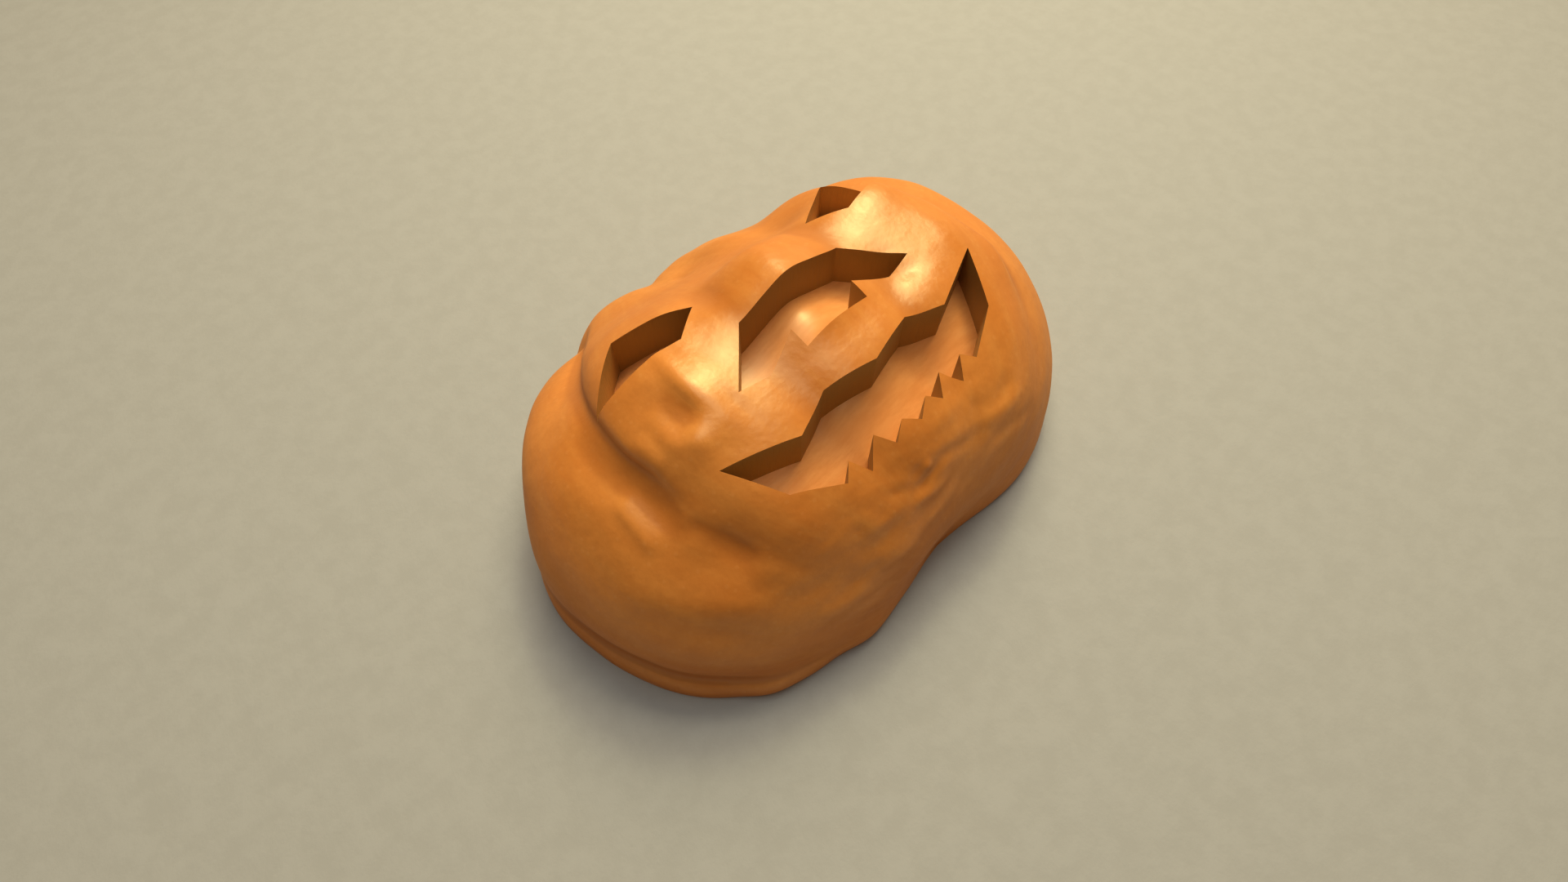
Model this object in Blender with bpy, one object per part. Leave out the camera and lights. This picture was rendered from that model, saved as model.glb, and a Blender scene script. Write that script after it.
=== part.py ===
"""Half of a pumpkin lying on its cut face, with a lantern face carved into the round side.

The half is one solid. Its skin is a squarish dome whose ribs run from the stem end (+Y) to the
blossom end (-Y). Two eyes, a nose and a toothed mouth are cut straight down to one depth, so the
floor of each pocket follows the skin above it. Lengths are in millimetres, angles in degrees.
"""
import bmesh
import bpy
import numpy as np

MM = 0.001

# The dome over the cut face: reaches from its middle, and how square its section is
SIDE_REACH = 136.5
STEM_REACH = 93.0
BLOSSOM_REACH = 78.0
DOME_HEIGHT = 99.0
SQUARENESS = 2.22
SHIFT_Y = -8.0

# Swells (+) and hollows (-) of the skin on the middle line: longitude and latitude of the
# middle, spread across and along the ribs, lift. Longitude turns about the stem axis from
# straight up towards +X, latitude rises towards the stem end.
MIDDLE_SWELLS = {
    "middle rib over the nose": (-1, 5, 5.5, 9, 9.5),
    "chin": (0, -38, 25, 10, 7.0),
    "blossom end": (0, -65, 60, 11, 4.5),
    "fall of the brow": (0, 43, 31, 23.5, -11.5),
    "stem end": (0, 76, 41, 13.5, 2.0),
}

# The same on both sides
PAIRED_SWELLS = {
    "eye rib": (30.5, 14, 9, 16, 5.5),
    "inner end of the eye rib": (33.5, 9, 3.5, 2.5, 1.0),
    "crease between eye rib and side rib": (49.5, 22.5, 4, 10, -6.0),
    "crease between cheek and side rib": (49, -4, 3, 11.5, -3.5),
    "brow rib": (12, 17.5, 14.5, 4.5, 3.0),
    "swell over the nose corner": (9.5, 8, 3.5, 3.5, 2.0),
    "furrow beside the middle rib": (15.5, 17, 3.5, 4, -2.5),
    "furrow down to the mouth": (17.5, -15, 4.5, 13.5, -4.0),
    "hollow cheek beside the nose": (27, -6.5, 7, 19, -4.0),
    "side rib by the eye": (63.5, 40.5, 5, 13.5, 4.0),
    "slope over the eye": (32.5, 47, 19.5, 12, -3.0),
    "temple": (53.5, 66.5, 11, 11, 2.5),
    "shoulder by the stem end": (47.5, 69, 25, 11, 5.0),
    "corner by the stem end": (30, 70.5, 27.5, 11, 4.5),
    "flat side by the mouth": (58.5, -19, 9, 22, -7.5),
    "side rib below the mouth": (58.5, -30.5, 6, 20, 3.5),
    "jowl": (43, -45, 19, 14, 7.0),
    "low side swell": (84, -47, 18.5, 19, 10.0),
    "low side hollow": (87, -7, 12, 11.5, -9.0),
    "low side hollow by the stem": (84, 21, 11, 11, -7.0),
    "sunken mouth": (12, -33, 11, 14, -5.0),
    "chin corner": (27, -37, 14.5, 6.5, -2.5),
    "lip of the side": (88, -2, 5, 10, 1.0),
}

# Folds and dimples that one side has alone: longitude is positive towards +X
SINGLE_SWELLS = {
    "fold under the eye": (-29, 1.5, 3, 7.5, 5.0),
    "knob under the eye": (-35, -6.5, 3, 2.5, 2.0),
    "swell beside the nose": (-21.5, -3.5, 5, 17, 2.5),
    "side rib edge": (-50.5, 21, 3, 6, 3.0),
    "deep part of the cheek crease": (-47.5, -17, 6.5, 9, -4.5),
    "bump in the cheek crease": (-48, -14, 3, 4.5, 3.0),
    "jowl hollow": (-42.5, -43.5, 14.5, 9, -5.0),
    "chin fold": (23, -40, 4, 2.5, 0.5),
    "swell at the mouth corner": (22.5, -16.5, 7, 5.5, 2.0),
    "far shoulder on the left": (-40, 52, 18.5, 13, 3.0),
    "notch behind the left eye rib": (-59, 54, 5.5, 3, -5.0),
    "furrow behind the left eye": (-50.5, 40, 2.5, 9, -3.0),
    "notch beside the brow": (-11.5, 67, 5, 8, -1.5),
    "far swell of the brow": (8.5, 67.5, 10, 6, 1.0),
    "far end of the brow rib": (17, 48, 6.5, 8.5, 4.5),
    "furrow right of the brow": (25.5, 26.5, 8.5, 8, -6.0),
    "hollow behind the right eye": (46, 56, 15, 10, -2.0),
    "far side of the right eye rib": (37.5, 32.5, 6.5, 5.5, 2.5),
    "rim of the right side rib": (60.5, 21.5, 3, 11.5, 2.5),
    "crease by the right rim": (53, 2, 5, 10.5, -3.0),
    "lip under the jowl": (-85, -38, 5.5, 3.5, 2.0),
    "lip under the chin": (-85, -60, 12, 3.5, 1.0),
    "low right side of the chin": (88, -59, 9, 9, 1.5),
    "near side of the right eye rib": (28.5, 10, 6, 6.5, 5.5),
    "hollow at the right eye corner": (43.5, 20.5, 6.5, 9.5, -5.0),
    "skin behind the right eye": (32.5, 25, 5, 5.5, 4.0),
    "slope beside the right eye rib": (18, 8, 3.5, 7.5, 2.0),
    "low end of the right eye rib": (46.5, -13, 3, 6, 3.0),
    "end of the lip under the chin": (-86, -51, 6, 3.5, -1.5),
    "dip beyond the brow rib": (31, 42, 5, 5, -1.0),
}

# Crease over the lip of the cut face: narrow below, wide above, and it fades towards both ends
CREASE_HEIGHT = 14.0
CREASE_BELOW = 5.0
CREASE_ABOVE = 11.0
CREASE_DEPTH = 4.5
CREASE_DEPTH_RIGHT = 1.5
CREASE_MIDDLE = -22.0
CREASE_SPREAD = 27.0

# The carved face, seen from straight above: outlines of one side, the other is its mirror image
CARVE_DEPTH = 18.0
EYE = ((29.0, 28.0), (55.5, 43.7), (78.5, 25.0), (42.5, 18.5))
NOSE_SIDE = ((15.2, -14.4), (15.3, -6.7), (30.5, -12.3), (43.4, -10.1), (24.7, 8.8))
MOUTH_TOP = ((0.0, -32.4), (21.2, -27.4), (37.5, -33.0))
MOUTH_CORNER = ((64.9, -22.6), (53.4, -42.8))
MOUTH_TEETH = ((35.2, -52.3), (30.3, -47.7), (25.1, -54.8), (17.7, -47.6), (12.5, -54.6),
               (6.4, -50.6), (0.0, -55.0))
CUTTER_FOOT = 45.0
CUTTER_TOP = 130.0

# Mesh fineness: steps round the dome, and elevations of its rings, closer at the crease
SEGMENTS = 96
LOW_RINGS = (0.0, 2.0, 3.8, 5.4, 7.0, 8.8)
HIGH_RINGS = (11.0, 87.0, 25)


def swell(longitude, latitude, middle, spread):
    """A round swell of height 1 on the skin."""
    across = (longitude - middle[0]) / spread[0]
    along = (latitude - middle[1]) / spread[1]
    return np.exp(-0.5 * (across ** 2 + along ** 2))


def skin_reach(direction):
    """Distance from the middle of the cut face to the skin, along unit directions."""
    x, y, z = direction[:, 0], direction[:, 1], direction[:, 2]
    reach_y = np.where(y > 0, STEM_REACH, BLOSSOM_REACH)
    squares = abs(x / SIDE_REACH) ** SQUARENESS
    squares += abs(y / reach_y) ** SQUARENESS
    squares += abs(z / DOME_HEIGHT) ** SQUARENESS
    reach = squares ** (-1 / SQUARENESS)
    longitude = np.degrees(np.arctan2(x, z))
    latitude = np.degrees(np.arcsin(np.clip(y, -1, 1)))
    for swells, sides in ((MIDDLE_SWELLS, (1,)), (PAIRED_SWELLS, (1, -1)), (SINGLE_SWELLS, (1,))):
        for middle_lon, middle_lat, across, along, lift in swells.values():
            for side in sides:
                middle = (side * middle_lon, middle_lat)
                reach += lift * swell(longitude, latitude, middle, (across, along))
    off_crease = reach * z - CREASE_HEIGHT
    off_crease /= np.where(off_crease < 0, CREASE_BELOW, CREASE_ABOVE)
    off_middle = (latitude - CREASE_MIDDLE) / CREASE_SPREAD
    depth = np.where(x < 0, CREASE_DEPTH, CREASE_DEPTH_RIGHT)
    reach -= depth * np.exp(-off_crease ** 2 - off_middle ** 2)
    return reach


def dome(name, drop):
    """The skin as a closed solid with a flat foot, lowered by drop."""
    elevation = np.radians(LOW_RINGS + tuple(np.linspace(*HIGH_RINGS)))
    azimuth = np.linspace(0, 2 * np.pi, SEGMENTS, endpoint=False)
    points = []
    for angle in elevation:
        ring = np.stack([np.cos(angle) * np.cos(azimuth), np.cos(angle) * np.sin(azimuth),
                         np.full(SEGMENTS, np.sin(angle))], axis=1)
        points.append(ring * skin_reach(ring)[:, None])
    crown = np.array([[0.0, 0.0, 1.0]])
    points.append(crown * skin_reach(crown)[:, None])
    points = np.concatenate(points) + (0, SHIFT_Y, -drop)
    mesh = bmesh.new()
    verts = [mesh.verts.new(point * MM) for point in points]
    for ring in range(len(elevation) - 1):
        for step in range(SEGMENTS):
            a = ring * SEGMENTS + step
            b = ring * SEGMENTS + (step + 1) % SEGMENTS
            mesh.faces.new([verts[i] for i in (a, b, b + SEGMENTS, a + SEGMENTS)])
    last = (len(elevation) - 1) * SEGMENTS
    for step in range(SEGMENTS):
        mesh.faces.new([verts[last + step], verts[last + (step + 1) % SEGMENTS], verts[-1]])
    mesh.faces.new([verts[i] for i in reversed(range(SEGMENTS))])
    return finished(name, mesh)


def mirrored(side):
    """A whole outline from the side at +X, whose first and last points may lie on the axis."""
    other = [(-x, y) for x, y in reversed(side) if x > 0]
    return list(side) + other


def prism(name, outline):
    """A straight cutter over an outline."""
    mesh = bmesh.new()
    foot = [mesh.verts.new((x * MM, (y + SHIFT_Y) * MM, CUTTER_FOOT * MM)) for x, y in outline]
    face = mesh.faces.new(foot)
    top = bmesh.ops.extrude_face_region(mesh, geom=[face])["geom"]
    raised = [item for item in top if isinstance(item, bmesh.types.BMVert)]
    bmesh.ops.translate(mesh, vec=(0, 0, (CUTTER_TOP - CUTTER_FOOT) * MM), verts=raised)
    bmesh.ops.recalc_face_normals(mesh, faces=mesh.faces)
    return finished(name, mesh)


def finished(name, mesh):
    """Put the mesh into the scene as an object."""
    data = bpy.data.meshes.new(name)
    mesh.to_mesh(data)
    mesh.free()
    item = bpy.data.objects.new(name, data)
    bpy.context.collection.objects.link(item)
    return item


def cut(item, cutter):
    """Take the cutter away from the item, and hide it as a guide."""
    boolean = item.modifiers.new("cut " + cutter.name, "BOOLEAN")
    boolean.operation = "DIFFERENCE"
    boolean.solver = "EXACT"
    boolean.object = cutter
    cutter.hide_render = True
    cutter.display_type = "WIRE"


def skin_material():
    """Waxy orange pumpkin skin."""
    material = bpy.data.materials.new("pumpkin_skin")
    material.use_nodes = True
    surface = material.node_tree.nodes["Principled BSDF"]
    surface.inputs["Base Color"].default_value = (0.72, 0.27, 0.06, 1)
    surface.inputs["Roughness"].default_value = 0.35
    surface.inputs["Metallic"].default_value = 0.0
    return material


for old in list(bpy.data.objects):
    bpy.data.objects.remove(old, do_unlink=True)

pumpkin_half = dome("pumpkin_half", 0.0)
pumpkin_half.data.materials.append(skin_material())
floor_skin = dome("floor_skin", CARVE_DEPTH)

pockets = {
    "eye_left": [(-x, y) for x, y in EYE],
    "eye_right": list(EYE),
    "nose": mirrored(NOSE_SIDE),
    "mouth": mirrored(MOUTH_TOP + MOUTH_CORNER + MOUTH_TEETH),
}
for name, outline in pockets.items():
    pocket = prism(name + "_pocket", outline)
    cut(pocket, floor_skin)
    cut(pumpkin_half, pocket)

pumpkin_half.data.shade_smooth()
pumpkin_half.data.set_sharp_from_angle(angle=np.radians(40))
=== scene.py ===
"""Looks of the pumpkin half: a glossy ribbed skin with folds and wrinkles, and four carved pockets.

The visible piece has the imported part's own form, from the same named swells, on a finer mesh. It adds
the small relief of the skin: folds, bumps and dents, and wrinkles on the chin. Lengths are in
millimetres and angles in degrees. Only the scene's floor, its camera, its lights and the scales of
noises are in metres, as in Blender.
"""

import math

import bpy
import numpy as np
from mathutils import Matrix, Vector, noise


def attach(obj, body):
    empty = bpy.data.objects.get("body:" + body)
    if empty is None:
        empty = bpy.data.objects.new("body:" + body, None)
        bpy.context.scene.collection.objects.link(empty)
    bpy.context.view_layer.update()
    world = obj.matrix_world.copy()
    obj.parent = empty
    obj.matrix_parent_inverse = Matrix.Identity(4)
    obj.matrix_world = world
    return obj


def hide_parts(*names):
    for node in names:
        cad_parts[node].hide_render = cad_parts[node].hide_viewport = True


MM = 0.001
NODE = "pumpkin_half"

# The dome over the cut face: reaches from its middle, how square its section is, and the place of
# its middle along the stem axis
SIDE_REACH = 136.5
STEM_REACH = 93.0
BLOSSOM_REACH = 78.0
DOME_HEIGHT = 99.0
SQUARENESS = 2.22
SHIFT_Y = -8.0

# Swells (+) and hollows (-) of the skin on the middle line: longitude and latitude of the
# middle, spread across and along the ribs, lift. Longitude turns about the stem axis from
# straight up towards +X, latitude rises towards the stem end.
MIDDLE_SWELLS = {
    "middle rib over the nose": (-1, 5, 5.5, 9, 9.5),
    "chin": (0, -38, 25, 10, 7.0),
    "blossom end": (0, -65, 60, 11, 4.5),
    "fall of the brow": (0, 43, 31, 23.5, -11.5),
    "stem end": (0, 76, 41, 13.5, 2.0),
}

# The same on both sides, given for the side at +X
PAIRED_SWELLS = {
    "eye rib": (30.5, 14, 9, 16, 5.5),
    "inner end of the eye rib": (33.5, 9, 3.5, 2.5, 1.0),
    "crease between eye rib and side rib": (49.5, 22.5, 4, 10, -6.0),
    "crease between cheek and side rib": (49, -4, 3, 11.5, -3.5),
    "brow rib": (12, 17.5, 14.5, 4.5, 3.0),
    "swell over the nose corner": (9.5, 8, 3.5, 3.5, 2.0),
    "furrow beside the middle rib": (15.5, 17, 3.5, 4, -2.5),
    "furrow down to the mouth": (17.5, -15, 4.5, 13.5, -4.0),
    "hollow cheek beside the nose": (27, -6.5, 7, 19, -4.0),
    "side rib by the eye": (63.5, 40.5, 5, 13.5, 4.0),
    "slope over the eye": (32.5, 47, 19.5, 12, -3.0),
    "temple": (53.5, 66.5, 11, 11, 2.5),
    "shoulder by the stem end": (47.5, 69, 25, 11, 5.0),
    "corner by the stem end": (30, 70.5, 27.5, 11, 4.5),
    "flat side by the mouth": (58.5, -19, 9, 22, -7.5),
    "side rib below the mouth": (58.5, -30.5, 6, 20, 3.5),
    "jowl": (43, -45, 19, 14, 7.0),
    "low side swell": (84, -47, 18.5, 19, 10.0),
    "low side hollow": (87, -7, 12, 11.5, -9.0),
    "low side hollow by the stem": (84, 21, 11, 11, -7.0),
    "sunken mouth": (12, -33, 11, 14, -5.0),
    "chin corner": (27, -37, 14.5, 6.5, -2.5),
    "lip of the side": (88, -2, 5, 10, 1.0),
}

# Folds and dimples that one side has alone: longitude is positive towards +X
SINGLE_SWELLS = {
    "fold under the eye": (-29, 1.5, 3, 7.5, 5.0),
    "knob under the eye": (-35, -6.5, 3, 2.5, 2.0),
    "swell beside the nose": (-21.5, -3.5, 5, 17, 2.5),
    "side rib edge": (-50.5, 21, 3, 6, 3.0),
    "deep part of the cheek crease": (-47.5, -17, 6.5, 9, -4.5),
    "bump in the cheek crease": (-48, -14, 3, 4.5, 3.0),
    "jowl hollow": (-42.5, -43.5, 14.5, 9, -5.0),
    "chin fold": (23, -40, 4, 2.5, 0.5),
    "swell at the mouth corner": (22.5, -16.5, 7, 5.5, 2.0),
    "far shoulder on the left": (-40, 52, 18.5, 13, 3.0),
    "notch behind the left eye rib": (-59, 54, 5.5, 3, -5.0),
    "furrow behind the left eye": (-50.5, 40, 2.5, 9, -3.0),
    "notch beside the brow": (-11.5, 67, 5, 8, -1.5),
    "far swell of the brow": (8.5, 67.5, 10, 6, 1.0),
    "far end of the brow rib": (17, 48, 6.5, 8.5, 4.5),
    "furrow right of the brow": (25.5, 26.5, 8.5, 8, -6.0),
    "hollow behind the right eye": (46, 56, 15, 10, -2.0),
    "far side of the right eye rib": (37.5, 32.5, 6.5, 5.5, 2.5),
    "rim of the right side rib": (60.5, 21.5, 3, 11.5, 2.5),
    "crease by the right rim": (53, 2, 5, 10.5, -3.0),
    "lip under the jowl": (-85, -38, 5.5, 3.5, 2.0),
    "lip under the chin": (-85, -60, 12, 3.5, 1.0),
    "low right side of the chin": (88, -59, 9, 9, 1.5),
    "near side of the right eye rib": (28.5, 10, 6, 6.5, 5.5),
    "hollow at the right eye corner": (43.5, 20.5, 6.5, 9.5, -5.0),
    "skin behind the right eye": (32.5, 25, 5, 5.5, 4.0),
    "slope beside the right eye rib": (18, 8, 3.5, 7.5, 2.0),
    "low end of the right eye rib": (46.5, -13, 3, 6, 3.0),
    "end of the lip under the chin": (-86, -51, 6, 3.5, -1.5),
    "dip beyond the brow rib": (31, 42, 5, 5, -1.0),
}

# Crease over the lip of the cut face: narrow below, wide above, and it fades towards both ends
CREASE_HEIGHT = 14.0
CREASE_BELOW = 5.0
CREASE_ABOVE = 11.0
CREASE_DEPTH = 4.5
CREASE_DEPTH_RIGHT = 1.5
CREASE_MIDDLE = -22.0
CREASE_SPREAD = 27.0

# The carved face, seen from straight above: depth of its pockets, and outlines of one side, whose
# mirror image is the other
CARVE_DEPTH = 18.0
EYE = ((29.0, 28.0), (55.5, 43.7), (78.5, 25.0), (42.5, 18.5))
NOSE_SIDE = ((15.2, -14.4), (15.3, -6.7), (30.5, -12.3), (43.4, -10.1), (24.7, 8.8))
MOUTH_TOP = ((0.0, -32.4), (21.2, -27.4), (37.5, -33.0))
MOUTH_CORNER = ((64.9, -22.6), (53.4, -42.8))
MOUTH_TEETH = ((35.2, -52.3), (30.3, -47.7), (25.1, -54.8), (17.7, -47.6), (12.5, -54.6),
               (6.4, -50.6), (0.0, -55.0))

# Heights between which the upright cutters of the pockets stand
CUTTER_FOOT = 45.0
CUTTER_TOP = 130.0

# Folds of the skin: lift, width on the left and on the right of the way, and the way itself as
# points of longitude and latitude. The skin rises (+) or sinks (-) along the way.
PAIRED_FOLDS = {
    "crease round the eye rib": (-1.2, 4.0, 2.5, (
        (52, 50), (49, 38), (47.5, 28), (46.5, 20), (46, 11), (46, 3), (45.5, -4), (46, -12))),
}
SINGLE_FOLDS = {
    "dip beside the comma fold": (-0.6, 3.0, 3.0, (
        (-27, 14), (-27, 8), (-27, 2), (-26.5, -5), (-26.5, -13))),
    "comma fold under the eye": (-0.6, 3.0, 3.5, (
        (-31, 13), (-31, 8), (-31.5, 3), (-32, -1), (-33, -5))),
    "second crest under the eye": (0.5, 3.5, 3.5, (
        (-37, 5), (-37.5, 1), (-38, -2), (-39, -6))),
    "outer crest under the eye": (0.5, 3.0, 3.0, ((-41.5, 3), (-42, -1), (-42.5, -5))),
    "crest of the side rib": (0.9, 5.5, 3.0, (
        (-52, 1), (-53, -3), (-54, -7), (-55.5, -12))),
    "cheek crease": (-0.9, 4.5, 4.0, ((-48, -11), (-48, -16), (-48, -21), (-49, -27))),
    "long crest low on the side": (0.9, 7.0, 7.0, (
        (-64, -6), (-62.5, -13), (-61, -20), (-58.5, -27), (-56, -34))),
    "low ridge by the jaw": (0.5, 4.0, 4.0, ((-61, -41), (-58, -45), (-53, -49), (-47, -52))),
    "jaw ridge": (0.5, 4.0, 4.0, ((-43, -51), (-37, -53), (-32, -56), (-25, -60))),
    "jaw valley": (-0.6, 4.5, 4.5, ((-42, -42), (-36, -45), (-30, -48), (-22, -52))),
    "wrinkle by the scar": (-0.4, 2.5, 2.5, ((-24, -40), (-18, -44), (-12, -47), (-6, -49))),
    "ridge under the scar": (0.4, 2.5, 2.5, ((3, -51), (-5, -52.5), (-12, -51), (-18, -49))),
    "wrinkle above the scar": (-0.3, 2.5, 2.5, ((-2, -45), (4, -46.5), (9, -47.5), (15, -47))),
    "wrinkle of the chin": (0.4, 3.0, 3.0, ((-20, -56), (-12, -58), (-2, -58.5), (8, -57))),
    "fold by the right mouth corner": (-0.6, 4.0, 4.0, (
        (16, -41), (22, -41.5), (29, -41), (36, -38))),
    "ridge by the right mouth corner": (0.5, 4.0, 4.0, (
        (19, -46), (26, -46), (33, -44.5), (40, -42))),
    "fold low on the right": (-0.6, 4.0, 4.0, ((22, -51), (30, -50), (40, -48.5), (50, -46))),
}

# Round bumps (+) and dents (-): longitude and latitude of the middle, spread in degrees across
# and along the ribs, lift
BUMPS = {
    "scar of the blossom end": (-6, -45, 1.3, 1.0, 0.8),
    "dent beside the scar": (-10.5, -44, 2.5, 1.5, -0.5),
    "dent under the scar": (-6.5, -47.5, 3.0, 1.0, -0.5),
    "knob by the nose corner": (20, -12, 2.0, 2.0, 0.4),
    "dent by the nose corner": (22.5, -8.5, 2.5, 1.5, -0.7),
    "knob on the cheek": (-49.5, -28, 2.0, 2.0, 0.8),
    "second knob on the cheek": (-50, -33.5, 2.2, 2.2, 0.6),
    "dent low on the side": (-65, -26, 3.0, 2.5, -0.5),
    "second dent low on the side": (-67.5, -33, 3.0, 2.0, -0.4),
    "small knob under the eye": (-37.5, -2.5, 1.8, 2.0, 0.6),
    "second small knob": (-35, -6, 1.6, 1.8, 0.8),
    "knob in the cheek crease": (-50.5, -15, 2.5, 2.5, 0.8),
    "knob by the jaw": (-30.5, -42.5, 2.2, 1.8, 0.4),
    "dent by the jaw": (-33.5, -41, 2.0, 1.5, -0.4),
    "dent on the brow": (-3, 51, 3.0, 3.0, -0.8),
    "dent by the eye corner": (-12.5, 18.5, 3.0, 3.0, -0.8),
    "dip of the brow by the nose": (-2, 5.5, 4.5, 3.5, -1.6),
    "swell of the brow over the nose": (4.5, 12.5, 4.0, 3.5, 0.9),
    "swell between eye and nose": (-16, 12, 2.5, 6.0, 1.0),
    "dip beside the right eye rib": (18.5, 8, 4.0, 6.0, -1.5),
    "dip over the right end of the nose": (25, 5, 6.5, 5.0, -1.4),
    "dip at the right end of the nose": (21.5, -3, 2.5, 3.0, -0.7),
    "swell outside the right nose corner": (35.5, -5, 4.5, 8.0, 1.8),
    "lift by the comma fold": (-27, 1, 3.0, 2.5, 0.5),
    "dip between nose and mouth": (1, -10, 8.0, 3.0, -1.1),
    "swell over the mouth": (0, -21, 9.0, 3.5, 0.9),
    "swell over the right side of the mouth": (19, -17, 4.0, 4.0, 1.1),
    "dip at the crease by the left eye": (-51, 6, 2.0, 6.0, -0.4),
    "lift beside the crease by the left eye": (-44, 4, 2.0, 4.0, 0.5),
}

# How sharp the bottom of a fold is (2 is round), the share of its way over which it fades at each
# end, how many widths away from its way it ends, and the steps between two points of its way
FOLD_SHARPNESS = 2.0
FOLD_FADE = 0.25
FOLD_REACH = 4
WAY_STEPS = 6

# Uneven skin all over: height and length of its waves, and of the finer wrinkles, which run from
# side to side and are strongest on the chin
WAVE_HEIGHT = 0.28
WAVE_LENGTH = 16.0
WRINKLE_HEIGHT = 0.50
WRINKLE_LENGTHS = (15.0, 6.0, 6.0)
WRINKLE_MIDDLE = (-10, -52)
WRINKLE_SPREAD = (40, 16)

# Mesh fineness: squares along the side of the grid that is laid over the dome, for the skin and for
# the floors of the pockets
SKIN_STEPS = 300
FLOOR_STEPS = 200

# Edges where the mesh turns by more than this stay sharp
SHARP_ANGLE = 40

# A hollow is measured against the skin this far away on both sides, across the ribs
HOLLOW_STEP = 3.0

# Slots of the mesh's materials: skin, walls and floors of the pockets
SKIN, WALL, FLOOR = 0, 1, 2

# Colours of the skin: patches, streaks along the ribs, mottling, pores, and painted shade where it lies
# deep in a hollow
SKIN_DARK = (0.580, 0.172, 0.025)
SKIN_LIGHT = (0.670, 0.228, 0.040)
STREAK_COLOR = (0.700, 0.270, 0.055)
MOTTLE_COLOR = (0.500, 0.140, 0.020)
PORE_COLOR = (0.760, 0.360, 0.110)
PAINTED_HOLLOW_SHADE = (0.400, 0.105, 0.014)

# Colours of the cut flesh and of the pale floor of the scene: fibres or grain, and patches. The walls'
# flesh is painted far darker than the floors', as painted shade
PAINTED_SHADE_WALL_DARK = (0.380, 0.190, 0.043)
PAINTED_SHADE_WALL_LIGHT = (0.418, 0.216, 0.052)
PAINTED_SHADE_WALL_PATCH = (0.380, 0.180, 0.040)
FLOOR_DARK = (0.740, 0.265, 0.065)
FLOOR_LIGHT = (0.820, 0.325, 0.090)
FLOOR_PATCH = (0.760, 0.265, 0.065)
STAGE_DARK = (0.335, 0.317, 0.288)
STAGE_LIGHT = (0.355, 0.337, 0.308)

# Gloss: refraction and strength of the reflections, their warm tint on skin and flesh, and the least
# and most roughness. Skin seen at a grazing angle is rougher by ROUGHER_ASIDE.
IOR = 1.4
SPECULAR = 0.9
GLOSS_TINT = (1.0, 1.0, 0.62)
SKIN_ROUGHNESS = (0.30, 0.36)
ROUGHER_ASIDE = 0.35
WALL_ROUGHNESS = (0.50, 0.62)
FLOOR_ROUGHNESS = (0.30, 0.38)
STAGE_ROUGHNESS = 0.9

# The range in which most of a noise lies
NOISE_RANGE = (0.3, 0.7)


def swell(longitude, latitude, middle, spread):
    """A round swell of height 1 on the skin."""
    across = (longitude - middle[0]) / spread[0]
    along = (latitude - middle[1]) / spread[1]
    return np.exp(-0.5 * (across ** 2 + along ** 2))


def angles(direction):
    """Longitude and latitude of unit directions."""
    longitude = np.degrees(np.arctan2(direction[:, 0], direction[:, 2]))
    latitude = np.degrees(np.arcsin(np.clip(direction[:, 1], -1, 1)))
    return longitude, latitude


def skin_reach(direction):
    """Distance from the middle of the cut face to the skin, along unit directions."""
    x, y, z = direction[:, 0], direction[:, 1], direction[:, 2]
    reach_y = np.where(y > 0, STEM_REACH, BLOSSOM_REACH)
    squares = abs(x / SIDE_REACH) ** SQUARENESS
    squares += abs(y / reach_y) ** SQUARENESS
    squares += abs(z / DOME_HEIGHT) ** SQUARENESS
    reach = squares ** (-1 / SQUARENESS)
    longitude, latitude = angles(direction)
    for swells, sides in ((MIDDLE_SWELLS, (1,)), (PAIRED_SWELLS, (1, -1)), (SINGLE_SWELLS, (1,))):
        for middle_lon, middle_lat, across, along, lift in swells.values():
            for side in sides:
                middle = (side * middle_lon, middle_lat)
                reach += lift * swell(longitude, latitude, middle, (across, along))
    off_crease = reach * z - CREASE_HEIGHT
    off_crease /= np.where(off_crease < 0, CREASE_BELOW, CREASE_ABOVE)
    off_middle = (latitude - CREASE_MIDDLE) / CREASE_SPREAD
    depth = np.where(x < 0, CREASE_DEPTH, CREASE_DEPTH_RIGHT)
    reach -= depth * np.exp(-off_crease ** 2 - off_middle ** 2)
    return reach


def unit_direction(longitude, latitude):
    """Unit directions from longitude and latitude."""
    lon, lat = np.radians(longitude), np.radians(latitude)
    return np.stack([np.cos(lat) * np.sin(lon), np.sin(lat), np.cos(lat) * np.cos(lon)], axis=-1)


def smooth_way(points):
    """A smooth curve through points, as a finer list of points."""
    points = np.array(points, float)
    padded = np.vstack([2 * points[0] - points[1], points, 2 * points[-1] - points[-2]])
    share = np.linspace(0, 1, WAY_STEPS, endpoint=False)[:, None]
    pieces = []
    for before, start, end, after in zip(padded, padded[1:], padded[2:], padded[3:]):
        bend = 2 * before - 5 * start + 4 * end - after
        twist = 3 * (start - end) + after - before
        pieces.append(start + 0.5 * share * ((end - before) + share * (bend + share * twist)))
    return np.vstack(pieces + [points[-1:]])


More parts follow.
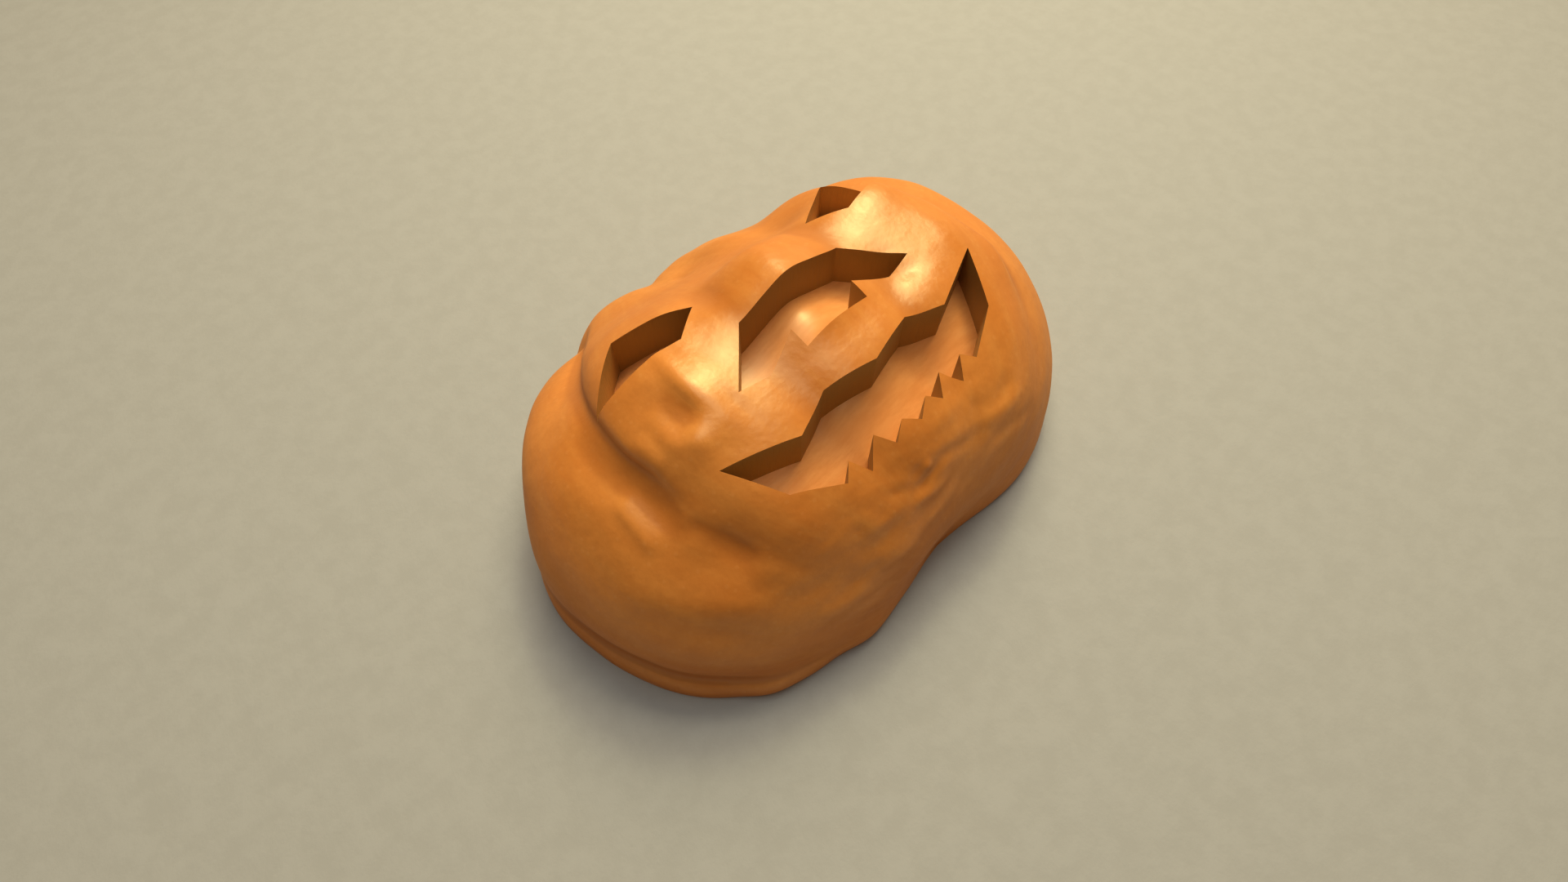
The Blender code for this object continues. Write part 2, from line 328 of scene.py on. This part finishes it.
def fold_lift(place, outward, lift, left, right, way):
    """Lift of a fold at places on the skin: its profile across the way, faded at both ends."""
    direction = unit_direction(*smooth_way(way).T)
    path = direction * skin_reach(direction)[:, None]
    reach = FOLD_REACH * max(left, right)
    near = np.all((place > path.min(axis=0) - reach) & (place < path.max(axis=0) + reach), axis=1)
    spot = place[near]
    best = np.full(len(spot), np.inf)
    side, along = np.zeros(len(spot)), np.zeros(len(spot))
    for number, (start, end) in enumerate(zip(path, path[1:])):
        run = end - start
        share = np.clip((spot - start) @ run / (run @ run), 0, 1)
        gap = spot - start - share[:, None] * run
        distance = np.linalg.norm(gap, axis=1)
        closer = distance < best
        best[closer] = distance[closer]
        turn = np.einsum("ij,ij->i", np.cross(run, gap), outward[near])
        side[closer] = turn[closer]
        along[closer] = (number + share[closer]) / (len(path) - 1)
    width = np.where(side > 0, left, right)
    fade = np.clip(np.minimum(along, 1 - along) / FOLD_FADE, 0, 1)
    result = np.zeros(len(place))
    result[near] = lift * fade ** 2 * (3 - 2 * fade) * np.exp(-(best / width) ** FOLD_SHARPNESS)
    return result


def fine_reach(direction):
    """Distance to the skin with its folds and bumps, along unit directions."""
    reach = skin_reach(direction)
    place = direction * reach[:, None]
    longitude, latitude = angles(direction)
    rise = np.zeros(len(direction))
    for lift, left, right, way in PAIRED_FOLDS.values():
        rise += fold_lift(place, direction, lift, left, right, way)
        rise += fold_lift(place, direction, lift, right, left, [(-lon, lat) for lon, lat in way])
    for lift, left, right, way in SINGLE_FOLDS.values():
        rise += fold_lift(place, direction, lift, left, right, way)
    for middle_lon, middle_lat, across, along, lift in BUMPS.values():
        rise += lift * swell(longitude, latitude, (middle_lon, middle_lat), (across, along))
    rise += WAVE_HEIGHT * waves(place / WAVE_LENGTH)
    share = swell(longitude, latitude, WRINKLE_MIDDLE, WRINKLE_SPREAD)
    rise += WRINKLE_HEIGHT * share * waves(place / WRINKLE_LENGTHS)
    return reach + rise


def waves(place):
    """Smooth seeded noise about 0, at places in wave lengths."""
    return np.array([noise.noise(Vector(point)) for point in place.tolist()])


def dome_directions(steps):
    """Unit directions over the dome: a square grid bent into a disc, and the disc into a dome."""
    side = np.linspace(-1, 1, steps + 1)
    u, v = np.meshgrid(side, side, indexing="ij")
    wide = abs(u) >= abs(v)
    radius = np.where(wide, u, v)
    safe = np.where(radius == 0, 1, radius)
    turn = np.where(wide, np.pi / 4 * v / safe, np.pi / 2 - np.pi / 4 * u / safe)
    elevation = np.pi / 2 * (1 - abs(radius))
    sign = np.sign(radius)
    flat = np.cos(elevation) * sign
    return np.stack([flat * np.cos(turn), flat * np.sin(turn), np.sin(elevation)], axis=-1)


def dome(name, steps, drop, slot):
    """The skin as a closed mesh with a flat foot, lowered by drop."""
    direction = dome_directions(steps).reshape(-1, 3)
    points = direction * fine_reach(direction)[:, None] + (0, SHIFT_Y, -drop)
    index = np.arange((steps + 1) ** 2).reshape(steps + 1, steps + 1)
    quads = np.stack([index[:-1, :-1], index[1:, :-1], index[1:, 1:], index[:-1, 1:]], axis=-1)
    rim = np.concatenate([index[:-1, 0], index[-1, :-1], index[:0:-1, -1], index[0, :0:-1]])
    faces = quads.reshape(-1, 4).tolist() + [rim[::-1].tolist()]
    return piece(name, points * MM, faces, [slot] * (len(faces) - 1) + [FLOOR])


def piece(name, points, faces, slots):
    """A mesh object in the scene, with the material slot of each face."""
    data = bpy.data.meshes.new(name)
    data.from_pydata(points.tolist(), [], faces)
    for _ in (SKIN, WALL, FLOOR):
        data.materials.append(None)
    data.polygons.foreach_set("material_index", slots)
    item = bpy.data.objects.new(name, data)
    bpy.context.collection.objects.link(item)
    return item


def mirrored(side):
    """A whole outline from the side at +X, whose first and last points may lie on the axis."""
    other = [(-x, y) for x, y in reversed(side) if x > 0]
    return list(side) + other


def prisms(name, outlines):
    """Straight cutters over several outlines, in one mesh."""
    points, faces = [], []
    for outline in outlines:
        area = sum(a[0] * b[1] - b[0] * a[1] for a, b in zip(outline, outline[1:] + outline[:1]))
        ring = outline if area > 0 else outline[::-1]
        count, start = len(ring), len(points)
        for height in (CUTTER_FOOT, CUTTER_TOP):
            points += [(x, y + SHIFT_Y, height) for x, y in ring]
        faces.append([start + i for i in reversed(range(count))])
        faces.append([start + count + i for i in range(count)])
        for i in range(count):
            j = (i + 1) % count
            faces.append([start + i, start + j, start + count + j, start + count + i])
    return piece(name, np.array(points) * MM, faces, [WALL] * len(faces))


def without(item, cutter):
    """Cut the cutter away from the item for good, and remove the cutter."""
    boolean = item.modifiers.new("cut", "BOOLEAN")
    boolean.operation = "DIFFERENCE"
    boolean.solver = "EXACT"
    boolean.object = cutter
    bpy.context.view_layer.update()
    seen = item.evaluated_get(bpy.context.evaluated_depsgraph_get())
    result = bpy.data.meshes.new_from_object(seen)
    item.modifiers.clear()
    item.data = result
    bpy.data.objects.remove(cutter, do_unlink=True)


def carved_pumpkin():
    """The fine pumpkin half, with its pockets cut out of it."""
    pockets = prisms("pockets", [
        [(-x, y) for x, y in EYE],
        list(EYE),
        mirrored(NOSE_SIDE),
        mirrored(MOUTH_TOP + MOUTH_CORNER + MOUTH_TEETH),
    ])
    without(pockets, dome("floor_skin", FLOOR_STEPS, CARVE_DEPTH, FLOOR))
    pumpkin = dome("carved_pumpkin", SKIN_STEPS, 0.0, SKIN)
    without(pumpkin, pockets)
    pumpkin.data.shade_smooth()
    pumpkin.data.set_sharp_from_angle(angle=math.radians(SHARP_ANGLE))
    measure_skin(pumpkin.data)
    return pumpkin


def measure_skin(data):
    """Give each vertex its place along the ribs, and how deep it lies in a hollow of the skin, for the
    skin's painted shade.
    """
    points = np.empty(len(data.vertices) * 3)
    data.vertices.foreach_get("co", points)
    points = points.reshape(-1, 3) / MM - (0, SHIFT_Y, 0)
    direction = points / np.linalg.norm(points, axis=1)[:, None]
    longitude, latitude = angles(direction)
    sides = [unit_direction(longitude + turn, latitude) for turn in (-HOLLOW_STEP, HOLLOW_STEP)]
    hollow = sum(fine_reach(side) for side in sides) / 2 - fine_reach(direction)
    data.attributes.new("hollow", "FLOAT", "POINT").data.foreach_set("value", hollow)
    rib = np.stack([longitude, latitude, np.zeros_like(latitude)], axis=1)
    data.attributes.new("rib", "FLOAT_VECTOR", "POINT").data.foreach_set("vector", rib.ravel())


class Nodes:
    """Shader nodes of one material, added one by one."""

    def __init__(self, name):
        self.material = bpy.data.materials.new(name)
        self.material.use_nodes = True
        self.tree = self.material.node_tree
        self.surface = self.tree.nodes["Principled BSDF"]
        self.place = self.add("ShaderNodeTexCoord").outputs["Object"]

    def add(self, kind, **inputs):
        """A node, with a value or another node's output for each input."""
        node = self.tree.nodes.new(kind)
        for name, value in inputs.items():
            self.join(node.inputs[name], value)
        return node

    def join(self, socket, value):
        """Set a socket's value, or link it."""
        if isinstance(value, bpy.types.NodeSocket):
            self.tree.links.new(value, socket)
        else:
            socket.default_value = value

    def attribute(self, name):
        """The node of a mesh attribute."""
        node = self.tree.nodes.new("ShaderNodeAttribute")
        node.attribute_name = name
        return node

    def noise(self, scale, detail=3.0, rough=0.5, stretch=(1, 1, 1), place=None):
        """Noise from 0 to 1: scale is its waves to a metre, or to a unit of another place."""
        moved = self.add("ShaderNodeMapping", Vector=place or self.place, Scale=stretch)
        return self.add("ShaderNodeTexNoise", Vector=moved.outputs[0], Scale=scale, Detail=detail,
                        Roughness=rough).outputs["Fac"]

    def fit(self, value, low, high, to_low=0.0, to_high=1.0):
        """A value mapped smoothly from one range to another."""
        node = self.tree.nodes.new("ShaderNodeMapRange")
        node.interpolation_type = "SMOOTHSTEP"
        for number, item in enumerate((value, low, high, to_low, to_high)):
            self.join(node.inputs[number], item)
        return node.outputs[0]

    def mix(self, share, first, second):
        """Two colours mixed: the sockets by number are a Mix node's factor, colours and result."""
        node = self.tree.nodes.new("ShaderNodeMix")
        node.data_type = "RGBA"
        for number, item in ((0, share), (6, first), (7, second)):
            self.join(node.inputs[number], (*item, 1) if isinstance(item, tuple) else item)
        return node.outputs[2]

    def bump(self, height, depth, before=None):
        """A bump of some depth, on top of another one."""
        node = self.add("ShaderNodeBump", Height=height, Distance=depth * MM, Strength=1.0)
        if before:
            self.join(node.inputs["Normal"], before)
        return node.outputs[0]

    def finish(self, color, roughness, normal, tint=GLOSS_TINT):
        """Join colour, roughness and normal to the surface, and set how it reflects."""
        self.join(self.surface.inputs["Base Color"], color)
        self.join(self.surface.inputs["Roughness"], roughness)
        self.join(self.surface.inputs["Normal"], normal)
        self.surface.inputs["IOR"].default_value = IOR
        self.surface.inputs["Specular IOR Level"].default_value = SPECULAR
        self.surface.inputs["Specular Tint"].default_value = (*tint, 1)
        return self.material


def skin_material():
    """Waxy orange skin: uneven colour, streaks along the ribs, pores, and painted shade that browns the
    hollows.
    """
    nodes = Nodes("pumpkin_skin")
    patches = nodes.fit(nodes.noise(scale=16.0, detail=4.0, rough=0.55), *NOISE_RANGE)
    color = nodes.mix(patches, SKIN_DARK, SKIN_LIGHT)
    rib = nodes.attribute("rib").outputs["Vector"]
    lines = nodes.noise(scale=1.0, detail=5.0, rough=0.6, stretch=(0.28, 0.03, 1), place=rib)
    color = nodes.mix(nodes.fit(lines, low=0.40, high=0.75, to_high=0.35), color, STREAK_COLOR)
    specks = nodes.noise(scale=260.0, detail=5.0, rough=0.65)
    color = nodes.mix(nodes.fit(specks, low=0.35, high=0.7, to_high=0.30), color, MOTTLE_COLOR)
    spots = nodes.add("ShaderNodeTexVoronoi", Vector=nodes.place, Scale=240.0, Randomness=1.0)
    pores = nodes.fit(spots.outputs["Distance"], low=0.10, high=0.26, to_low=1.0, to_high=0.0)
    color = nodes.mix(nodes.fit(pores, low=0.0, high=1.0, to_high=0.10), color, PORE_COLOR)
    # Painted shade: the skin turns browner the deeper it lies in a hollow
    depth = nodes.attribute("hollow").outputs["Fac"]
    color = nodes.mix(nodes.fit(depth, low=0.05, high=0.9, to_high=0.55), color, PAINTED_HOLLOW_SHADE)
    aside = nodes.add("ShaderNodeLayerWeight", Blend=0.5).outputs["Facing"]
    gloss = [nodes.fit(aside, low=0.30, high=0.65, to_low=rough, to_high=rough + ROUGHER_ASIDE)
             for rough in SKIN_ROUGHNESS]
    roughness = nodes.fit(nodes.noise(scale=45.0, detail=4.0, rough=0.6), *NOISE_RANGE, *gloss)
    normal = nodes.bump(nodes.noise(scale=75.0, detail=3.0, rough=0.5), depth=0.5)
    normal = nodes.bump(nodes.noise(scale=420.0, detail=4.0, rough=0.6), depth=0.08, before=normal)
    normal = nodes.bump(pores, depth=0.01, before=normal)
    return nodes.finish(color, roughness, normal)


def wall_material():
    """Cut flesh of the pocket walls, painted dark as shade, with fibres from the skin inwards."""
    nodes = Nodes("carved_wall_painted_shade")
    fibres = nodes.noise(scale=1.0, detail=5.0, rough=0.6, stretch=(900, 900, 90))
    # Painted shade: the walls' flesh is coloured far darker than the floors' flesh
    color = nodes.mix(nodes.fit(fibres, *NOISE_RANGE), PAINTED_SHADE_WALL_DARK, PAINTED_SHADE_WALL_LIGHT)
    patches = nodes.fit(nodes.noise(scale=40.0), *NOISE_RANGE, to_high=0.4)
    color = nodes.mix(patches, color, PAINTED_SHADE_WALL_PATCH)
    roughness = nodes.fit(fibres, *NOISE_RANGE, *WALL_ROUGHNESS)
    return nodes.finish(color, roughness, nodes.bump(fibres, depth=0.1))


def floor_material():
    """Cut flesh of the pocket floors: paler and moist, with fibres from side to side."""
    nodes = Nodes("carved_floor")
    fibres = nodes.noise(scale=1.0, detail=5.0, rough=0.65, stretch=(110, 420, 110))
    color = nodes.mix(nodes.fit(fibres, *NOISE_RANGE), FLOOR_DARK, FLOOR_LIGHT)
    patches = nodes.fit(nodes.noise(scale=60.0, detail=4.0), low=0.35, high=0.7, to_high=0.4)
    color = nodes.mix(patches, color, FLOOR_PATCH)
    roughness = nodes.fit(nodes.noise(scale=80.0, detail=4.0), *NOISE_RANGE, *FLOOR_ROUGHNESS)
    return nodes.finish(color, roughness, nodes.bump(fibres, depth=0.1))


def stage_material():
    """Matt pale floor with a faint grain and no tint in its gloss."""
    nodes = Nodes("stage_floor")
    grain = nodes.fit(nodes.noise(scale=90.0, detail=5.0, rough=0.6), *NOISE_RANGE)
    color = nodes.mix(grain, STAGE_DARK, STAGE_LIGHT)
    return nodes.finish(color, STAGE_ROUGHNESS, nodes.bump(grain, depth=0.1), tint=(1, 1, 1))


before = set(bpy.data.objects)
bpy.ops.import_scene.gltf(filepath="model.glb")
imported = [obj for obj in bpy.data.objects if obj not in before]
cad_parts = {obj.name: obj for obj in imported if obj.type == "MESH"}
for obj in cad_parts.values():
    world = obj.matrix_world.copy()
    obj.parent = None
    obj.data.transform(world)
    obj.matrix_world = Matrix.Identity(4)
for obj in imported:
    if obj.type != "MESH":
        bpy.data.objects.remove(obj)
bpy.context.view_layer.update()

pumpkin = carved_pumpkin()
pumpkin.data.materials[SKIN] = skin_material()
pumpkin.data.materials[WALL] = wall_material()
pumpkin.data.materials[FLOOR] = floor_material()
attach(pumpkin, "root")
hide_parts(NODE)

# The floor that the half lies on
STAGE_SIZE = 6.0
bpy.ops.mesh.primitive_plane_add(size=STAGE_SIZE)
floor = bpy.context.object
floor.name = "floor"
floor.data.materials.append(stage_material())

# The camera, where the photo was taken from: focal length and width of the photo in its pixels,
# width of the sensor as Blender has it, and the direction in which the camera stands
FOCAL_PIXELS = 912.35
IMAGE_WIDTH = 1920
SENSOR_WIDTH = 36
CLIP_START = 0.01
CAMERA_ELEVATION = 60.81
CAMERA_AZIMUTH = -136.06
CAMERA_PLACE = Vector((-0.12810, -0.11219 + SHIFT_Y * MM, 0.29760))

elevation = math.radians(CAMERA_ELEVATION)
azimuth = math.radians(CAMERA_AZIMUTH)
back = Vector((math.cos(elevation) * math.cos(azimuth),
               math.cos(elevation) * math.sin(azimuth),
               math.sin(elevation)))
right = Vector((0, 0, 1)).cross(back).normalized()
up = back.cross(right)
camera = bpy.data.objects.new("camera", bpy.data.cameras.new("camera"))
bpy.context.collection.objects.link(camera)
camera.data.sensor_width = SENSOR_WIDTH
camera.data.lens = FOCAL_PIXELS / IMAGE_WIDTH * SENSOR_WIDTH
camera.data.clip_start = CLIP_START
place = Matrix((right, up, back)).transposed().to_4x4()
place.translation = CAMERA_PLACE
camera.matrix_world = place
bpy.context.scene.camera = camera


def area_light(name, direction, distance, size, power, color):
    """A soft light that shines from a direction onto the half."""
    light = bpy.data.lights.new(name, "AREA")
    light.size = size
    light.energy = power
    light.color = color
    item = bpy.data.objects.new(name, light)
    bpy.context.collection.objects.link(item)
    towards = direction.normalized()
    item.location = towards * distance
    item.rotation_euler = towards.to_track_quat("Z", "Y").to_euler()


# The lights shine from behind the half, as the photo's do: a small key for the gloss, a wide one from
# the same direction for soft light, and a cool one from nearly straight above
KEY_ELEVATION = 57
KEY_TO_THE_RIGHT = 0.1
TOP_LEAN = 0.09

rise = math.radians(KEY_ELEVATION)
away = -Vector((back.x, back.y, 0)).normalized()
key = away * math.cos(rise) + Vector((0, 0, math.sin(rise))) + right * KEY_TO_THE_RIGHT
top = away * TOP_LEAN + Vector((0, 0, 1))
area_light("key", key, distance=1.2, size=0.16, power=3.0, color=(1.0, 1.0, 0.62))
area_light("soft_key", key, distance=1.4, size=0.9, power=21, color=(1.0, 0.88, 0.60))
area_light("top", top, distance=1.4, size=1.0, power=8.5, color=(0.80, 0.92, 0.95))

# Faint warm light from all round
WORLD_COLOR = (1.0, 0.68, 0.40, 1)
WORLD_STRENGTH = 0.15

world = bpy.data.worlds.new("studio")
bpy.context.scene.world = world
world.use_nodes = True
background = world.node_tree.nodes["Background"]
background.inputs["Color"].default_value = WORLD_COLOR
background.inputs["Strength"].default_value = WORLD_STRENGTH
bpy.context.scene.view_settings.view_transform = "Standard"
